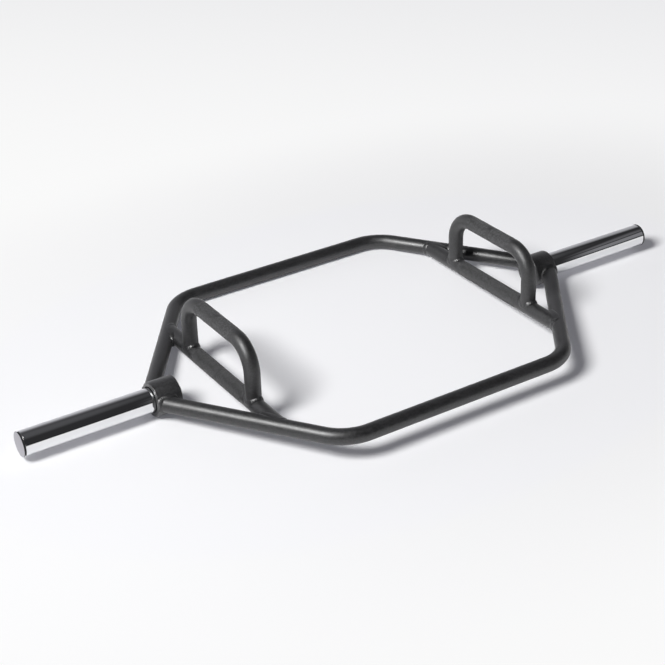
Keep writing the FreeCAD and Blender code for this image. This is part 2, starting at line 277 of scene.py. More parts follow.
collar_low, collar_high = box_of("right_collar")
rear_low, rear_high = box_of("rear_frame_tube")
collar_radius = (collar_high[1] - collar_low[1]) / 2
tube_radius = (rear_high[2] - rear_low[2]) / 2
bore_radius = tube_radius - TUBE_WALL
level = (rear_high[2] + rear_low[2]) / 2
half_width = rear_high[1] - tube_radius
apex = (collar_high[0] - LEG_EDGE_MARGIN - tube_radius / np.sin(LEG_ANGLE)
        + collar_radius / np.tan(LEG_ANGLE))
frame_run = np.linspace(0, 1, FRAME_RUN_ROWS)
frame_bends = (half_width, apex, LEG_ANGLE, FRAME_BEND_RADIUS, collar_radius + ROOT_GAP)
rear_tube = whole_tube(half_bent_tube(frame_run, tube_radius, *frame_bends),
                       half_bent_tube(frame_run, bore_radius, *frame_bends))
for side, sign in (("rear", 1), ("front", -1)):
    turned = rear_tube * (sign, sign, 1) + (0, 0, level)
    tube = put_mesh(f"{side}_frame_tube_coated", turned, woven_faces(*turned.shape[:2]), True, [black_coat])
    stand_for(tube, f"{side}_frame_tube")

# Collars: short thick rings turned from steel, one at each end of the hexagon. The legs are welded to
# them, the sleeves stand in them, and their outer faces stop the weight plates. They carry the same
# powder coat, set lighter than the frame's: painted light that makes the collars read brighter.
COLLAR_CHAMFER = 0.0015
COLLAR_RIM_ROUND = 0.002
COLLAR_MOUTH_ROUND = 0.0006
MOUTH_CLEARANCE = 0.0025
MOUTH_DEPTH = 0.004
SHOULDER_HEIGHT = 0.002
TURNED_COLUMNS = 160
ROUND_STEPS = 5
# Lighter than the frame coat's colours: painted light on the collars.
COLLAR_BLACK = (0.005, 0.005, 0.0055, 1)
COLLAR_THIN = (0.034, 0.034, 0.036, 1)
COLLAR_ROUGHNESS = 0.44
COLLAR_GLOSS = 1.0


def rounded_loop(corners, rounds):
    """A closed outline with every corner replaced by an arc of its own radius.

    The arc touches both sides at radius / tan(half the corner's angle), and its points turn evenly from
    the one side's normal to the other's.
    """
    corners = np.array(corners, float)
    back = np.roll(corners, 1, 0) - corners
    ahead = np.roll(corners, -1, 0) - corners
    back /= np.linalg.norm(back, axis=1, keepdims=True)
    ahead /= np.linalg.norm(ahead, axis=1, keepdims=True)
    half = np.arccos(np.clip(np.einsum("ij,ij->i", back, ahead), -1, 1)) / 2
    middle = back + ahead
    middle /= np.linalg.norm(middle, axis=1, keepdims=True)
    rounds = np.broadcast_to(rounds, len(corners)).astype(float)
    centre = corners + middle * (rounds / np.sin(half))[:, None]
    sweep = np.linspace(-1, 1, ROUND_STEPS)[None, :] * (np.pi / 2 - half)[:, None]
    across = np.stack([-middle[:, 1], middle[:, 0]], -1)
    sense = np.sign(np.einsum("ij,ij->i", across, ahead))
    across *= sense[:, None]
    spoke = -middle[:, None] * np.cos(sweep)[..., None] + across[:, None] * np.sin(sweep)[..., None]
    return (centre[:, None] + spoke * rounds[:, None, None]).reshape(-1, 2)


def turned_ring(name, outline, sign, material):
    """A closed outline of (along, radius) carried once round the sleeves' axis; sign turns it to its end."""
    around = np.linspace(0, FULL_TURN, TURNED_COLUMNS, endpoint=False)
    along, radius = outline[:, :1], outline[:, 1:]
    rings = np.stack(np.broadcast_arrays(sign * along, sign * radius * np.cos(around),
                                         level + radius * np.sin(around)), -1)
    return put_mesh(name, rings, woven_faces(*rings.shape[:2]), True, [material])


collar_inner, collar_face = collar_low[0], collar_high[0]
sleeve_low, sleeve_high = box_of("right_sleeve")
sleeve_radius = (sleeve_high[1] - sleeve_low[1]) / 2
spigot_radius = sleeve_radius - SHOULDER_HEIGHT
mouth_radius = sleeve_radius + MOUTH_CLEARANCE
seat = collar_face - MOUTH_DEPTH
# The collars' coat is a lighter copy of the frame's coat: painted light.
collar_painted_light_coat = powder_coat("collar_painted_light_powder_coat", COLLAR_BLACK, COLLAR_THIN, COLLAR_ROUGHNESS, COLLAR_GLOSS)
collar_outline = rounded_loop([
    (collar_inner, spigot_radius),
    (collar_inner, collar_radius - COLLAR_CHAMFER),
    (collar_inner + COLLAR_CHAMFER, collar_radius),
    (collar_face - COLLAR_CHAMFER, collar_radius),
    (collar_face, collar_radius - COLLAR_CHAMFER),
    (collar_face, mouth_radius),
    (seat, mouth_radius),
    (seat, spigot_radius),
], [COLLAR_MOUTH_ROUND] + [COLLAR_RIM_ROUND] * 4 + [COLLAR_MOUTH_ROUND] * 3)
for side, sign in (("left", -1), ("right", 1)):
    collar = turned_ring(f"{side}_collar_coated", collar_outline, sign, collar_painted_light_coat)
    stand_for(collar, f"{side}_collar")

# Sleeves: bright chromed steel tubes that the plates slide on. A turned-down spigot goes through the
# collar, and the shoulder beside it seats in the collar's mouth, which leaves a dark ring of shadow
# round the sleeve.
SLEEVE_WALL = 0.005
SLEEVE_EDGE_ROUND = 0.0004
CHROME_BRIGHT = (0.82, 0.825, 0.835, 1)
CHROME_HAZE = (0.75, 0.755, 0.77, 1)
CHROME_LINES_PER_METRE = 700.0
CHROME_STRETCH = 0.06
CHROME_HAZE_PER_METRE = 30.0
CHROME_ROUGHNESS = 0.045
CHROME_LINE_DEPTH = 0.000004
CHROME_DETAIL = 3.0
CHROME_HAZE_EDGES = (0.45, 0.75)
CHROME_HAZE_SHARE = 0.5
CHROME_LINES_DULL = 0.03
CHROME_HAZE_DULLS = 0.03
CHROME_RELIEF_STRENGTH = 0.25


def chrome_plate(name):
    """Chrome over a ground tube: a mirror with faint grinding lines round the axis and a soft handling haze.

    The lines are noise read along the axis, with the other two directions drawn out.
    """
    material, start, shader, place = new_finish(name)
    stretch = (1, CHROME_STRETCH, CHROME_STRETCH)
    drawn = start.node("ShaderNodeMapping", {}, {"Vector": place, "Scale": stretch})
    lines = start.noise(drawn, CHROME_LINES_PER_METRE, CHROME_DETAIL)
    haze = start.noise(place, CHROME_HAZE_PER_METRE, CHROME_DETAIL).rise(*CHROME_HAZE_EDGES)
    link(start.blend(haze * CHROME_HAZE_SHARE, CHROME_BRIGHT, CHROME_HAZE), shader, "Base Color")
    dull = lines * CHROME_LINES_DULL + haze * CHROME_HAZE_DULLS
    link(dull + (CHROME_ROUGHNESS - CHROME_LINES_DULL / 2), shader, "Roughness")
    bump = start.node("ShaderNodeBump", {}, {"Strength": CHROME_RELIEF_STRENGTH,
                                              "Distance": CHROME_LINE_DEPTH, "Height": lines})
    link(bump, shader, "Normal")
    shader.inputs["Metallic"].default_value = 1
    return material


chrome = chrome_plate("bright_chrome")
sleeve_end = sleeve_high[0]
sleeve_bore = sleeve_radius - SLEEVE_WALL
sleeve_outline = rounded_loop([
    (collar_inner, sleeve_bore),
    (collar_inner, spigot_radius),
    (seat, spigot_radius),
    (seat, sleeve_radius),
    (sleeve_end, sleeve_radius),
    (sleeve_end, sleeve_bore),
], SLEEVE_EDGE_ROUND)
for side, sign in (("left", -1), ("right", 1)):
    sleeve = turned_ring(f"{side}_sleeve_chromed", sleeve_outline, sign, chrome)
    stand_for(sleeve, f"{side}_sleeve")

# Sleeve plugs: a plain steel disc welded into the sleeve's inner end, and a turned end cap pressed into
# the outer one. The cap's thin flange has a bright face with fine facing marks; behind it runs a
# blackened groove.
CAP_GROOVE_WIDTH = 0.003
CAP_GROOVE_DEPTH = 0.002
CAP_RIM_ROUND = 0.0006
CAP_CROWN = 0.0003
CAP_PLUG_LENGTH = 0.020
INNER_PLUG_LENGTH = 0.008
CAP_FACE_RINGS = 12
CAP_RIM_STEPS = 10
FACING_LINES_PER_METRE = 900.0
FACING_DEPTH = 0.00002
FACING_DULLS = 0.12
FACING_RELIEF_STRENGTH = 0.3
CAP_CLOUD_DULLS = 0.06
CAP_ROUGHNESS = 0.30
CAP_BRIGHT = (0.43, 0.42, 0.45, 1)
CAP_DULL = (0.37, 0.36, 0.39, 1)
GROOVE_ROUGHNESS = 0.7
GROOVE_GLOSS = 0.3


def turned_plug(name, outline, sign, materials, material_of_stretch):
    """An outline that starts and ends on the axis, carried once round it, with a material for each stretch.

    The two ends become single points: the rings between them are joined by pairs of triangles, and a fan of
    triangles closes each end.
    """
    around = np.linspace(0, FULL_TURN, TURNED_COLUMNS, endpoint=False)
    along, radius = outline[1:-1, :1], outline[1:-1, 1:]
    rings = np.stack(np.broadcast_arrays(sign * along, sign * radius * np.cos(around),
                                         level + radius * np.sin(around)), -1)
    rows = len(along)
    poles = np.array([(sign * outline[0, 0], 0, level), (sign * outline[-1, 0], 0, level)])
    points = np.concatenate([rings.reshape(-1, 3), poles])
    wall = woven_faces(rows, TURNED_COLUMNS)[:2 * (rows - 1) * TURNED_COLUMNS]
    column = np.arange(TURNED_COLUMNS)
    beside = (column + 1) % TURNED_COLUMNS
    first = np.stack([np.full_like(column, rows * TURNED_COLUMNS), column, beside], -1)
    ring = (rows - 1) * TURNED_COLUMNS
    last = np.stack([ring + column, np.full_like(column, rows * TURNED_COLUMNS + 1), ring + beside], -1)
    faces = np.concatenate([first, wall, last])
    faces_of_stretch = np.full(rows + 1, 2 * TURNED_COLUMNS)
    faces_of_stretch[[0, -1]] = TURNED_COLUMNS
    return put_mesh(name, points, faces, True, materials, np.repeat(material_of_stretch, faces_of_stretch))


def faced_chrome(name):
    """Plated end grain of a turned plug: rings left by the facing cut, read by distance from the axis."""
    material, start, shader, place = new_finish(name)
    flat = start.node("ShaderNodeVectorMath", {"operation": "SUBTRACT"}, {0: place, 1: (0, 0, level)})
    flat = start.node("ShaderNodeVectorMath", {"operation": "MULTIPLY"}, {0: flat, 1: (0, 1, 1)})
    radius = start.node("ShaderNodeVectorMath", {"operation": "LENGTH"}, {0: flat}, "Value")
    ring = start.node("ShaderNodeCombineXYZ", {}, {"X": radius})
    marks = start.noise(ring, FACING_LINES_PER_METRE, CHROME_DETAIL)
    cloud = start.noise(place, CHROME_HAZE_PER_METRE, CHROME_DETAIL)
    link(start.blend(cloud, CAP_DULL, CAP_BRIGHT), shader, "Base Color")
    mean_dull = (FACING_DULLS + CAP_CLOUD_DULLS) / 2
    link(marks * FACING_DULLS + cloud * CAP_CLOUD_DULLS + (CAP_ROUGHNESS - mean_dull), shader, "Roughness")
    bump = start.node("ShaderNodeBump", {}, {"Strength": FACING_RELIEF_STRENGTH,
                                              "Distance": FACING_DEPTH, "Height": marks})
    link(bump, shader, "Normal")
    shader.inputs["Metallic"].default_value = 1
    return material


cap_face_chrome = faced_chrome("faced_chrome")
groove_black = powder_coat("groove_black", COLLAR_BLACK, COLLAR_THIN, GROOVE_ROUGHNESS, GROOVE_GLOSS)
cap_end = box_of("right_sleeve_end_cap")[1][0]
flange = sleeve_end + CAP_GROOVE_WIDTH
groove_radius = sleeve_radius - CAP_GROOVE_DEPTH
rim_turn = np.linspace(0, np.pi / 2, CAP_RIM_STEPS)
rim = np.stack([cap_end - CAP_CROWN - CAP_RIM_ROUND * (1 - np.sin(rim_turn)),
                sleeve_radius - CAP_RIM_ROUND * (1 - np.cos(rim_turn))], -1)
face_radius = np.linspace(sleeve_radius - CAP_RIM_ROUND, 0, CAP_FACE_RINGS)[1:]
face_share = 1 - (face_radius / (sleeve_radius - CAP_RIM_ROUND)) ** 2
cap_face = np.stack([cap_end - CAP_CROWN + CAP_CROWN * face_share, face_radius], -1)
cap_inner = sleeve_end - CAP_PLUG_LENGTH
cap_outline = np.concatenate([
    [(cap_inner, 0), (cap_inner, sleeve_bore), (sleeve_end, sleeve_bore),
     (sleeve_end, groove_radius), (flange, groove_radius), (flange, sleeve_radius)],
    rim, cap_face,
])
last_black = len(cap_outline) - len(cap_face) - len(rim) // 2
cap_is_black = (np.arange(len(cap_outline) - 1) < last_black).astype(int)
plug_end = collar_inner + INNER_PLUG_LENGTH
plug_outline = np.array([(collar_inner, 0), (collar_inner, sleeve_bore),
                         (plug_end, sleeve_bore), (plug_end, 0)])
for side, sign in (("left", -1), ("right", 1)):
    cap = turned_plug(f"{side}_sleeve_end_cap_chromed", cap_outline, sign,
                      [cap_face_chrome, groove_black], cap_is_black)
    stand_for(cap, f"{side}_sleeve_end_cap")
    plug = turned_plug(f"{side}_sleeve_inner_plug_coated", plug_outline, sign, [collar_painted_light_coat], [0, 0, 0])
    stand_for(plug, f"{side}_sleeve_inner_plug")

# Raised handles: U-shaped grips bent from the same tube, standing on the cross tubes. The straight of
# each grip is rolled with a diamond knurl on both sides of a plain centre mark, and the powder coat
# leaves the knurl matt.
RAISED_BEND_RADIUS = 0.055
KNURL_LENGTHWISE = 0.0013
KNURL_CREST = 0.00012
KNURL_ROOT = -0.00026
KNURL_FADE_ROWS = 6
BORE_RUN_ROWS = 4
CENTRE_MARK_HALF = 0.004
RAISED_KNURL_END = 0.069
HANDLE_ROUGHNESS = 0.50
HANDLE_GLOSS = 0.85
KNURL_BLACK = (0.002, 0.002, 0.0023, 1)
KNURL_THIN = (0.050, 0.050, 0.053, 1)
KNURL_ROUGHNESS = 0.62
KNURL_GLOSS = 0.8


def knurled_run(half_length, knurl_end, mark_half):
    """Rows of one half of a grip: their place as a share of the half length, and their points' relief.

    Within the knurl the rows are half a diamond apart, and the points of odd row plus column are raised
    to the crest while the others sink to the root. The plain mark at the middle ends sharply, and at
    the knurl's other end the relief fades out over a few rows.
    """
    rows = 2 * int((knurl_end - mark_half) / KNURL_LENGTHWISE / 2)
    knurl = mark_half + KNURL_LENGTHWISE * np.arange(1, rows + 1)
    places = np.concatenate([[0, mark_half], knurl, [knurl[-1] + KNURL_LENGTHWISE, half_length]])
    row, column = np.meshgrid(np.arange(len(places)), np.arange(TUBE_COLUMNS), indexing="ij")
    relief = np.where((row + column) % 2 == 1, KNURL_CREST, KNURL_ROOT)
    relief *= np.clip((len(places) - 2 - np.arange(len(places))) / KNURL_FADE_ROWS, 0, 1)[:, None]
    relief[:2] = 0
    return places / half_length, relief


def grip_faces(rows, half_rows, knurl_rows):
    """Faces of a grip's closed skin, and a mask of those in the knurl on either side of the middle."""
    middle = half_rows - 1
    faces = woven_faces(rows, TUBE_COLUMNS, middle)
    row = np.repeat(np.arange(rows), 2 * TUBE_COLUMNS)
    from_middle = np.where(row >= middle, row - middle, middle - 1 - row)
    return faces, (from_middle >= 1) & (from_middle < knurl_rows - 2) & (row < 2 * half_rows - 1)


handle_coat = powder_coat("handle_powder_coat", COAT_BLACK, COAT_THIN, HANDLE_ROUGHNESS, HANDLE_GLOSS)
knurl_coat = powder_coat("knurled_powder_coat", KNURL_BLACK, KNURL_THIN, KNURL_ROUGHNESS, KNURL_GLOSS)
raised_low, raised_high = box_of("right_raised_handle")
handle_x = (raised_low[0] + raised_high[0]) / 2
raised_height = raised_high[2] - tube_radius - level
raised_leg = (raised_high[1] - raised_low[1]) / 2 - tube_radius
raised_straight = raised_leg - RAISED_BEND_RADIUS
raised_run, raised_relief = knurled_run(raised_straight, RAISED_KNURL_END, CENTRE_MARK_HALF)
raised_bends = (raised_height, raised_leg, np.pi / 2, RAISED_BEND_RADIUS, tube_radius + ROOT_GAP)
raised_outside = half_bent_tube(raised_run, tube_radius + raised_relief, *raised_bends)
bore_run = np.linspace(0, 1, BORE_RUN_ROWS)
raised_skin = whole_tube(raised_outside, half_bent_tube(bore_run, bore_radius, *raised_bends))
raised_faces, raised_knurl = grip_faces(len(raised_skin), len(raised_outside), len(raised_run))
for side, sign in (("left", -1), ("right", 1)):
    placed = raised_skin[..., [2, 0, 1]] + (sign * handle_x, 0, level)
    grip = put_mesh(f"{side}_raised_handle_coated", placed, raised_faces, ~raised_knurl,
                    [handle_coat, knurl_coat], raised_knurl)
    stand_for(grip, f"{side}_raised_handle")

# Cross tubes: the low grips, straight lengths of the tube between the two legs of one side, their ends
# saddle-cut at a slant. They are knurled in one run between the feet of the raised handle, and their
# knurl takes a darker copy of the raised grips' coat: painted shade.
CROSS_KNURL_MARGIN = 0.006
CROSS_END_ROWS = 10
# A darker copy of the knurled coat's light colour: painted shade on the low grips.
LOW_KNURL_SHADED_THIN = (0.038, 0.038, 0.040, 1)


def half_cross_tube(run, radius, half_length, knurled_length):
    """Rings of one half of a cross tube, as (along, height, across), from its middle to its slanted saddle.

    The rings stand square up to the knurl's end. Beyond it each point moves on by its own share, until
    it is one root gap off the leg: along = half length - (sideways / tan + gap / sin) of the angle
    between tube and leg, where gap is the square root of the saddle's radius squared less the point's
    height squared.
    """
    around = np.linspace(0, FULL_TURN, TUBE_COLUMNS, endpoint=False)
    up = radius * np.cos(around)
    side = radius * np.sin(around)
    straight = np.stack(np.broadcast_arrays(run[:, None] * knurled_length, up, side), -1)
    up, side = straight[-1, :, 1], straight[-1, :, 2]
    clear = np.sqrt((tube_radius + ROOT_GAP) ** 2 - up ** 2)
    stop = half_length - side * np.tan(LEG_ANGLE) - clear / np.cos(LEG_ANGLE)
    share = np.linspace(0, 1, CROSS_END_ROWS)[1:, None]
    slant = np.stack(np.broadcast_arrays(knurled_length + (stop - knurled_length) * share, up, side), -1)
    return np.concatenate([straight, slant])


# The low grips' knurl: the raised grips' coat painted darker, as painted shade.
low_knurl_shaded_coat = powder_coat("low_knurl_painted_shade_coat", KNURL_BLACK, LOW_KNURL_SHADED_THIN,
                             KNURL_ROUGHNESS, KNURL_GLOSS)
cross_half = (apex - handle_x) * np.tan(LEG_ANGLE)
cross_grip = raised_leg - tube_radius - CROSS_KNURL_MARGIN
cross_run, cross_relief = knurled_run(cross_grip, cross_grip - KNURL_LENGTHWISE, KNURL_LENGTHWISE)
cross_outside = half_cross_tube(cross_run, tube_radius + cross_relief, cross_half, cross_grip)
cross_skin = whole_tube(cross_outside, half_cross_tube(bore_run, bore_radius, cross_half, cross_grip))
cross_faces, cross_knurl = grip_faces(len(cross_skin), len(cross_outside), len(cross_run))
for side, sign in (("left", -1), ("right", 1)):
    placed = np.stack([sign * (handle_x + cross_skin[..., 2]), sign * cross_skin[..., 0],
                       level + cross_skin[..., 1]], -1)
    grip = put_mesh(f"{side}_cross_tube_coated", placed, cross_faces, ~cross_knurl,
                    [black_coat, low_knurl_shaded_coat], cross_knurl)
    stand_for(grip, f"{side}_cross_tube")

# Weld beads: one run of filler round each tube end, laid by hand as a fillet of overlapping ripples,
# then dressed and coated with the frame. Each sleeve's spigot has a ring bead of its own on the
# collar's inner face.
FILLET_LEG = 0.0075
FILLET_CROWN = 0.0007
LEG_UNEVEN = 0.06
WELD_DEPTH = 0.0012
RING_RADIUS = 0.0038
RIPPLE_PITCH = 0.0036
RIPPLE_HEIGHT = 0.0004
RIPPLE_BOW = 0.9
RIPPLE_MEAN = 0.6
# Each wave: how often it goes round the bead, its size, and how far the seed shifts it.
UNEVEN_WAVES = ((3, 1.0, 1.0), (7, 0.6, 2.1), (11, 0.4, 3.7))
FIRST_SEED = 1.0
JOINT_SEED = 1.7
QUARTER_SEED = 0.9
RING_SEED = 2.5
BEAD_STATIONS = 320
FACE_STEPS = 13
INSIDE_STEPS = 3
RING_SIDES = 16
WELD_ROUGHNESS = 0.42


def along_bead(line, seed):
    """What changes along a closed weld line: its heading, its curl, its ripples' phase and its unevenness.

    The curl is the turn of the heading per metre, the phase grows by half a turn for each ripple, and the
    unevenness is a sum of slow sines of the distance, set by the seed.
    """
    heading = np.roll(line, -1, 0) - np.roll(line, 1, 0)
    span = np.linalg.norm(heading, axis=1, keepdims=True)
    heading /= span
    curl = np.linalg.norm(np.roll(heading, -1, 0) - np.roll(heading, 1, 0), axis=1, keepdims=True) / span
    step = np.linalg.norm(np.roll(line, -1, 0) - line, axis=1)
    share = np.concatenate([[0], np.cumsum(step)[:-1]])[:, None] / step.sum()
    phase = np.pi * np.round(step.sum() / RIPPLE_PITCH) * share
    slow = FULL_TURN * share
    uneven = sum(size * np.sin(count * slow + shift * seed) for count, size, shift in UNEVEN_WAVES)
    return heading, curl, phase, LEG_UNEVEN * uneven


def on_bar(points, centre, axis, radius):
    """Points moved square to a round bar's axis until they lie on its skin, and the skin's normals there."""
    spoke = points - centre
    spoke = spoke - (spoke @ axis)[:, None] * axis
    normal = spoke / np.linalg.norm(spoke, axis=1, keepdims=True)
    return points - spoke + radius * normal, normal


def fillet_skin(line, branch, run, seed):
    """Skin of a fillet weld along a closed root line between two bars, each a centre, an axis and a radius.

    At every station the toes lie one leg from the root on the skins of the two bars, and the leg is
    shorter where the line curls. The face between them is the chord and a parabola along the mean of
    the two normals, whose crown rises and falls with the sines of the ripples. Inside the two walls the
    section closes past the root.
    """
    heading, curl, phase, uneven = along_bead(line, seed)
    leg = FILLET_LEG * (1 + uneven) / (1 + FILLET_LEG * curl)
    branch_normal, run_normal = on_bar(line, *branch)[1], on_bar(line, *run)[1]
    up_branch, out_run = np.cross(heading, branch_normal), np.cross(heading, run_normal)
    up_branch *= np.sign(np.einsum("ij,ij->i", up_branch, run_normal))[:, None]
    out_run *= np.sign(np.einsum("ij,ij->i", out_run, branch_normal))[:, None]
    first_toe, first_normal = on_bar(line + leg * up_branch, *branch)
    last_toe, last_normal = on_bar(line + leg * out_run, *run)
    middle = branch_normal + run_normal
    middle /= np.linalg.norm(middle, axis=1, keepdims=True)
    share = np.linspace(0, 1, FACE_STEPS)
    ripple = np.abs(np.sin(phase + RIPPLE_BOW * (2 * share - 1) ** 2)) - RIPPLE_MEAN
    swell = 4 * share * (1 - share) * (FILLET_CROWN + RIPPLE_HEIGHT * ripple)
    share = share[:, None]
    face = first_toe[:, None] * (1 - share) + last_toe[:, None] * share + swell[..., None] * middle[:, None]
    inside = np.stack([last_toe - WELD_DEPTH * last_normal, line - WELD_DEPTH * middle,
                       first_toe - WELD_DEPTH * first_normal], 1)
    return np.concatenate([face, inside], 1)


def ring_skin(line, out, seed):
    """Skin of a round bead along a closed line: a circle square to it that swells with every ripple."""
    heading, _, phase, uneven = along_bead(line, seed)
    level_way = np.cross(heading, out)
    turn = np.linspace(0, FULL_TURN, RING_SIDES, endpoint=False)
    ripple = np.abs(np.sin(phase + RIPPLE_BOW * np.cos(turn))) - RIPPLE_MEAN
    radius = RING_RADIUS * (1 + uneven) + RIPPLE_HEIGHT * ripple
    spoke = level_way[:, None] * np.cos(turn)[:, None] + out * np.sin(turn)[:, None]
    return line[:, None] + radius[..., None] * spoke


def saddle_line(meeting, branch, run, run_radius):
    """The closed line where a branch tube comes within one root gap of a round run that its axis meets.

    A point of the branch's skin lies at the branch's radius, turned about its axis; it is moved along
    the branch until its distance from the run's axis is the run's radius and the root gap.
    """
    meeting, branch, run = (np.array(vector, float) for vector in (meeting, branch, run))
    upward = np.cross(branch, run)
    upward /= np.linalg.norm(upward)
    sideways = np.cross(upward, branch)
    outward = np.cross(upward, run)
    outward *= np.sign(outward @ branch)
    angle = np.linspace(0, FULL_TURN, BEAD_STATIONS, endpoint=False)[:, None]
    offset = tube_radius * (np.cos(angle) * sideways + np.sin(angle) * upward)
    rise = tube_radius * np.sin(angle[:, 0])
    clearance = np.sqrt((run_radius + ROOT_GAP) ** 2 - rise ** 2)
    along = (clearance - offset @ outward) / (branch @ outward)
    return meeting + offset + along[:, None] * branch


leg_way = np.array([-np.cos(LEG_ANGLE), np.sin(LEG_ANGLE), 0])
along_x, along_y, along_z = np.eye(3)
joints = {
    "collar": ((apex, 0, 0), leg_way, along_x, collar_radius),
    "cross_tube": ((handle_x, cross_half, 0), -along_y, leg_way, tube_radius),
    "handle": ((handle_x, raised_leg, 0), along_z, along_y, tube_radius),
}
quarters = {"rear_right": (1, 1), "front_right": (1, -1), "front_left": (-1, -1), "rear_left": (-1, 1)}
weld_coat = powder_coat("weld_powder_coat", COAT_BLACK, COAT_THIN, WELD_ROUGHNESS, COAT_GLOSS)
weld_faces = woven_faces(BEAD_STATIONS, FACE_STEPS + INSIDE_STEPS)
for joint_index, (joint, (meeting, branch_way, run_way, run_radius)) in enumerate(joints.items()):
    root = saddle_line(meeting, branch_way, run_way, run_radius)
    for quarter_index, (quarter, (right_sign, rear_sign)) in enumerate(quarters.items()):
        skin = fillet_skin(root, (meeting, branch_way, tube_radius), (meeting, run_way, run_radius),
                           FIRST_SEED + JOINT_SEED * joint_index + QUARTER_SEED * quarter_index)
        # The collars are faced after welding, so that plates seat flat, and their beads end at that face.
        skin[..., 0] = np.minimum(skin[..., 0], collar_face)
        node = f"{quarter}_{joint}_weld"
        bead = put_mesh(f"{node}_coated", skin * (right_sign, rear_sign, 1) + (0, 0, level), weld_faces, True,
                        [weld_coat])
        stand_for(bead, node)
ring_faces = woven_faces(BEAD_STATIONS, RING_SIDES)
seam_turn = np.linspace(0, FULL_TURN, BEAD_STATIONS, endpoint=False)[:, None]
for side, sign in (("left", -1), ("right", 1)):
    seam = np.concatenate([np.full_like(seam_turn, sign * collar_inner), spigot_radius * np.cos(seam_turn),
                           level + spigot_radius * np.sin(seam_turn)], 1)
    skin = ring_skin(seam, -sign * along_x, RING_SEED + sign)
    bead = put_mesh(f"{side}_sleeve_weld_coated", skin, ring_faces, True, [weld_coat])
    stand_for(bead, f"{side}_sleeve_weld")

# Studio floor: a wide sheet of white paper. The bar lies on its two collars and tips back until the
# rear long side touches too, so near the bar the paper follows that slant. Far off it runs level and
# glows white, dimmed toward the rear right as a painted falloff of light.
FLOOR_REACH = 40.0
NEAR_REACH = 1.2
NEAR_ROWS = 97
FAR_ROWS = (2.0, 5.0, 15.0, FLOOR_REACH)
PAPER_ROUGHNESS = 0.9
PAPER_GLOSS = 0.1
SLANT_KEPT = 0.45
SLANT_ENDS = 0.95
FLOOR_WHITE = (0.90, 0.90, 0.907, 1)
# Painted falloff of light: the far glow dims from front to rear right; the cool white is painted fill light.
FAR_FRONT_WHITE = (0.955, 0.955, 0.955, 1)
FAR_REAR_PAINTED_DIM_WHITE = (0.81, 0.81, 0.825, 1)
PAINTED_COOL_FILL_WHITE = (0.90, 0.905, 1.02, 1)
FAR_DIM_WAY = (1.2, 1.0, 0)
FAR_DEPTHS = (0.3, 5.0)
COOL_FADES_BY = 0.1
FAR_SQUEEZE = (0.8, 1.25, 0)
FAR_STARTS = 0.60
FAR_WHOLE = 1.35
PAINTED_FILL_SHARE = 0.10
slant = np.arcsin((collar_radius - tube_radius) / half_width)
near_rows = np.linspace(-NEAR_REACH, NEAR_REACH, NEAR_ROWS)
far_rows = np.array(FAR_ROWS)
floor_y = np.concatenate([-far_rows[::-1], near_rows, far_rows])
share = np.clip((np.abs(floor_y) - SLANT_KEPT) / (SLANT_ENDS - SLANT_KEPT), 0, 1)
slope = np.tan(slant) * (1 - share * share * (3 - 2 * share))
climb = np.concatenate([[0], np.cumsum((slope[1:] + slope[:-1]) / 2 * np.diff(floor_y))])
climb -= np.interp(0, floor_y, climb) + collar_radius / np.cos(slant) - level
floor_x = np.array([-FLOOR_REACH, -NEAR_REACH, 0, NEAR_REACH, FLOOR_REACH])
grid_x, grid_y = np.meshgrid(floor_x, floor_y)
floor_points = np.stack([grid_x, grid_y, np.broadcast_to(climb[:, None], grid_x.shape)], -1)
rows, columns = grid_x.shape
cell = np.arange((rows - 1) * columns).reshape(rows - 1, columns)[:, :-1].ravel()
floor_faces = np.stack([cell, cell + 1, cell + columns + 1, cell + columns], -1)
paper = bpy.data.meshes.new("floor")
paper.from_pydata(floor_points.reshape(-1, 3).tolist(), [], floor_faces.tolist())
paper.polygons.foreach_set("use_smooth", np.ones(len(floor_faces), bool))
floor = bpy.data.objects.new("floor", paper)
bpy.context.scene.collection.objects.link(floor)

paper_finish, start, shader, place = new_finish("white_paper")
shader.inputs["Base Color"].default_value = FLOOR_WHITE
shader.inputs["Roughness"].default_value = PAPER_ROUGHNESS
shader.inputs["Specular IOR Level"].default_value = PAPER_GLOSS
depth = start.node("ShaderNodeVectorMath", {"operation": "DOT_PRODUCT"}, {0: place, 1: FAR_DIM_WAY}, "Value")
far_white_painted_falloff = start.blend(depth.rise(*FAR_DEPTHS), FAR_FRONT_WHITE, FAR_REAR_PAINTED_DIM_WHITE)
squeezed = start.node("ShaderNodeVectorMath", {"operation": "MULTIPLY"}, {0: place, 1: FAR_SQUEEZE})
from_bar = start.node("ShaderNodeVectorMath", {"operation": "LENGTH"}, {0: squeezed}, "Value")
far = from_bar.rise(FAR_STARTS, FAR_WHOLE)
glow_white = start.blend(far.rise(0, COOL_FADES_BY), PAINTED_COOL_FILL_WHITE, far_white_painted_falloff)
glowing_paper = start.node("ShaderNodeEmission", {}, {"Color": glow_white})
seen = (start.node("ShaderNodeLightPath", output="Is Camera Ray")
        + start.node("ShaderNodeLightPath", output="Is Glossy Ray")
        + start.node("ShaderNodeLightPath", output="Is Transmission Ray"))
# Far from the bar the paper glows white, dimmed toward the rear right as painted falloff of light, and
# near it a small cool share of glow is painted fill light that lifts the shadows.
lit_paper = Shade(start.tree, shader.outputs[0])
glow_share = (far * (1 - PAINTED_FILL_SHARE) + PAINTED_FILL_SHARE) * seen
sheet = start.node("ShaderNodeMixShader", {}, {0: glow_share, 1: lit_paper, 2: glowing_paper})
link(sheet, next(node for node in start.tree.nodes if node.type == "OUTPUT_MATERIAL"), "Surface")
paper.materials.append(paper_finish)

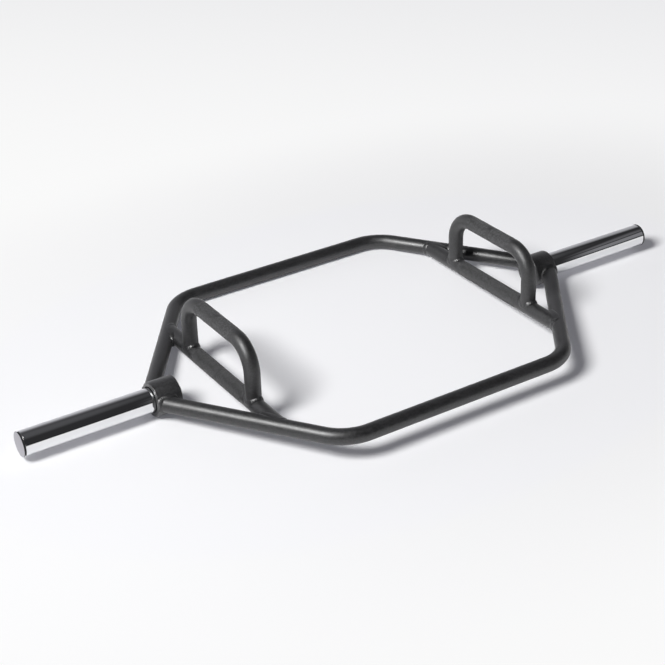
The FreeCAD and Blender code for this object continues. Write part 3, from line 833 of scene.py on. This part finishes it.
# Studio light: one soft oval lamp on the left, set so that it does not weaken with distance; a pale
# backdrop behind the bar that fades into a dark ceiling; and two dim grey panels on the right. The
# chrome shows all of them.
LAMP_PLACE = (-2.7, -0.60, 2.9)
LAMP_WIDTH = 1.4
LAMP_HEIGHT = 1.5
LAMP_STRENGTH = 12.0
ROOM_TINT = (0.95, 0.95, 1.0, 1)
ROOM_GLOW = 0.03
CEILING_GLOW = 0.06
BACKDROP_GLOW = 0.70
BACKDROP_FALL = 0.45
LOW_PANEL_GLOW = 0.20
HIGH_PANEL_GLOW = 0.10
BACKDROP_SIDE_EDGES = (0.25, 0.55)
BACKDROP_TOP_EDGES = (0.45, 0.95)
RIGHT_DIMS = 0.25
RIGHT_DIM_EDGES = (0.4, 0.65)
LOW_PANEL_FOOT = (0.06, 0.22)
LOW_PANEL_HEAD = (0.44, 0.54)
HIGH_PANEL_FOOT = (0.52, 0.60)
HIGH_PANEL_HEAD = (0.66, 0.76)
PANEL_SIDE_EDGES = (0.45, 0.62)
PANEL_REAR_EDGES = (-0.3, 0.1)
CEILING_EDGES = (0.75, 1.0)


def facing(place, back, roll=0.0):
    """The matrix of a lamp or camera at a place, its back pointing the given way, rolled about that line."""
    back = np.array(back, float) / np.linalg.norm(back)
    right = np.cross((0, 0, 1), back)
    right /= np.linalg.norm(right)
    up = np.cross(back, right)
    turned_right = right * np.cos(roll) + up * np.sin(roll)
    turned_up = up * np.cos(roll) - right * np.sin(roll)
    return Matrix(np.vstack([np.column_stack([turned_right, turned_up, back, place]), (0, 0, 0, 1)]).tolist())


lamp_data = bpy.data.lights.new("softbox", "AREA")
lamp_data.shape = "ELLIPSE"
lamp_data.size = LAMP_WIDTH
lamp_data.size_y = LAMP_HEIGHT
lamp_data.energy = 1
lamp_data.use_nodes = True
start = Shade(lamp_data.node_tree)
even = start.node("ShaderNodeLightFalloff", {}, {"Strength": LAMP_STRENGTH}, "Constant")
link(even, next(node for node in lamp_data.node_tree.nodes if node.type == "EMISSION"), "Strength")
lamp = bpy.data.objects.new("softbox", lamp_data)
lamp.matrix_world = facing(LAMP_PLACE, LAMP_PLACE)
bpy.context.scene.collection.objects.link(lamp)

world = bpy.data.worlds.new("studio")
bpy.context.scene.world = world
world.use_nodes = True
start = Shade(world.node_tree)
way = start.node("ShaderNodeTexCoord", output="Generated")
split = start.node("ShaderNodeSeparateXYZ", {}, {"Vector": way})
to_right, to_rear, to_top = (Shade(world.node_tree, split.socket.node.outputs[axis]) for axis in "XYZ")
backdrop = to_rear.rise(*BACKDROP_SIDE_EDGES) * (1 - to_top.rise(*BACKDROP_TOP_EDGES))
backdrop = backdrop * (BACKDROP_GLOW - BACKDROP_FALL * to_top)
backdrop = backdrop * (1 - RIGHT_DIMS * to_right.rise(*RIGHT_DIM_EDGES))
low_panel = to_top.rise(*LOW_PANEL_FOOT) * (1 - to_top.rise(*LOW_PANEL_HEAD)) * LOW_PANEL_GLOW
high_panel = to_top.rise(*HIGH_PANEL_FOOT) * (1 - to_top.rise(*HIGH_PANEL_HEAD)) * HIGH_PANEL_GLOW
panel_sides = to_right.rise(*PANEL_SIDE_EDGES) * (1 - to_rear.rise(*PANEL_REAR_EDGES))
panels = panel_sides * (low_panel + high_panel)
glow = backdrop + panels + to_top.rise(*CEILING_EDGES) * CEILING_GLOW + ROOM_GLOW
background = next(node for node in world.node_tree.nodes if node.type == "BACKGROUND")
background.inputs["Color"].default_value = ROOM_TINT
link(glow, background, "Strength")

# Camera: a long lens in front of the bar's left end, looking down on it. The bar lies tipped back, so its own
# upright leans a little in the picture.
CAMERA_PLACE = (-1.4927, -2.2807, 1.5367)
CAMERA_BACK = (-0.46208, -0.74265, 0.48470)
CAMERA_ROLL = np.radians(-1.858)
CAMERA_LENS_MM = 81.89
CAMERA_SENSOR_MM = 36.0
camera_data = bpy.data.cameras.new("photo_view")
camera_data.lens = CAMERA_LENS_MM
camera_data.sensor_width = CAMERA_SENSOR_MM
camera = bpy.data.objects.new("photo_view", camera_data)
bpy.context.scene.collection.objects.link(camera)
camera.matrix_world = facing(CAMERA_PLACE, CAMERA_BACK, CAMERA_ROLL)
bpy.context.scene.camera = camera
bpy.context.scene.view_settings.view_transform = "Standard"
